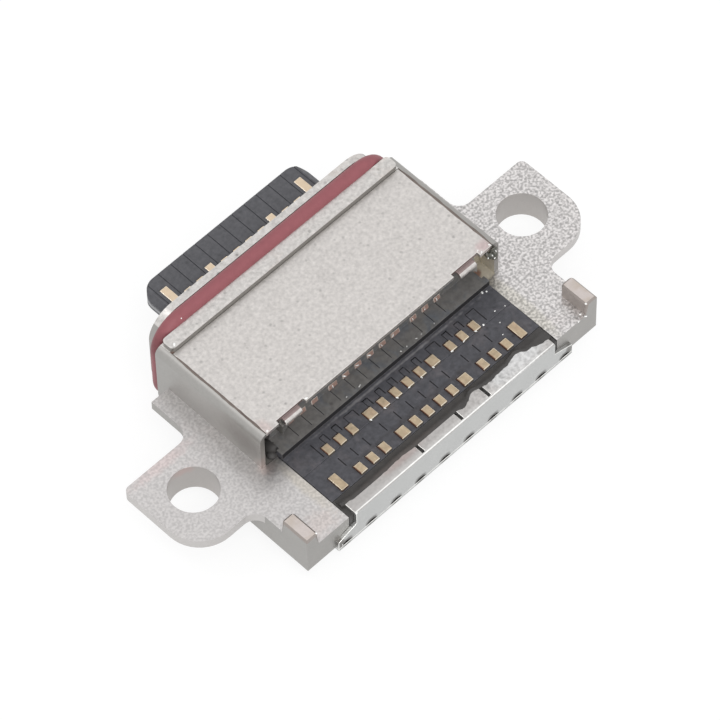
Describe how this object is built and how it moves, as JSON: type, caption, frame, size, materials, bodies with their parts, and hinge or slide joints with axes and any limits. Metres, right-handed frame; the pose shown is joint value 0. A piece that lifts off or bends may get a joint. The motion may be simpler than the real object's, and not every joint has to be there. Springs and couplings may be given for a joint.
{
  "type": "usb-c socket",
  "caption": "Sealed mid-mount usb-c board socket with screw ears, locating pegs, a seal ring round the nose and a tongue that stands out of the mouth.",
  "frame": {"origin": "midway between the two ear screw holes, on the top face of the ears that seats on the board", "axes": "+X across the socket from one ear screw to the other, -Y out of the mouth towards the plug, +Z away from the board seat on the cover's side"},
  "size_m": [0.0164, 0.0099, 0.0038],
  "materials": {
    "moulded_steel": "blasted, grainy",
    "cover_steel": "fine blasted",
    "shield_steel": "smooth satin sheet",
    "inner_steel": "smooth sheet",
    "contact_gold": "pale gold plating",
    "moulding": "matte dark grey",
    "resin": "satin potting resin",
    "seal_rubber": "satin dusty red"
  },
  "bodies": {
    "root": {"bracket": "moulded_steel", "seal_ring": "seal_rubber", "cover": "cover_steel", "rear_shield": "shield_steel", "bottom_shield": "shield_steel", "tongue_moulding": "moulding", "tail_block": "moulding", "mid_plate": "inner_steel", "upper_earth_plate": "inner_steel", "lower_earth_plate": "inner_steel", "potting": "resin", "upper_contact_1": "contact_gold", "upper_contact_2": "contact_gold", "upper_contact_3": "contact_gold", "upper_contact_4": "contact_gold", "upper_contact_5": "contact_gold", "upper_contact_6": "contact_gold", "upper_contact_7": "contact_gold", "upper_contact_8": "contact_gold", "upper_contact_9": "contact_gold", "upper_contact_10": "contact_gold", "upper_contact_11": "contact_gold", "upper_contact_12": "contact_gold", "lower_contact_1": "contact_gold", "lower_contact_2": "contact_gold", "lower_contact_3": "contact_gold", "lower_contact_4": "contact_gold", "lower_contact_5": "contact_gold", "lower_contact_6": "contact_gold", "lower_contact_7": "contact_gold", "lower_contact_8": "contact_gold", "lower_contact_9": "contact_gold", "lower_contact_10": "contact_gold", "lower_contact_11": "contact_gold", "lower_contact_12": "contact_gold"}
  },
  "joints": []
}
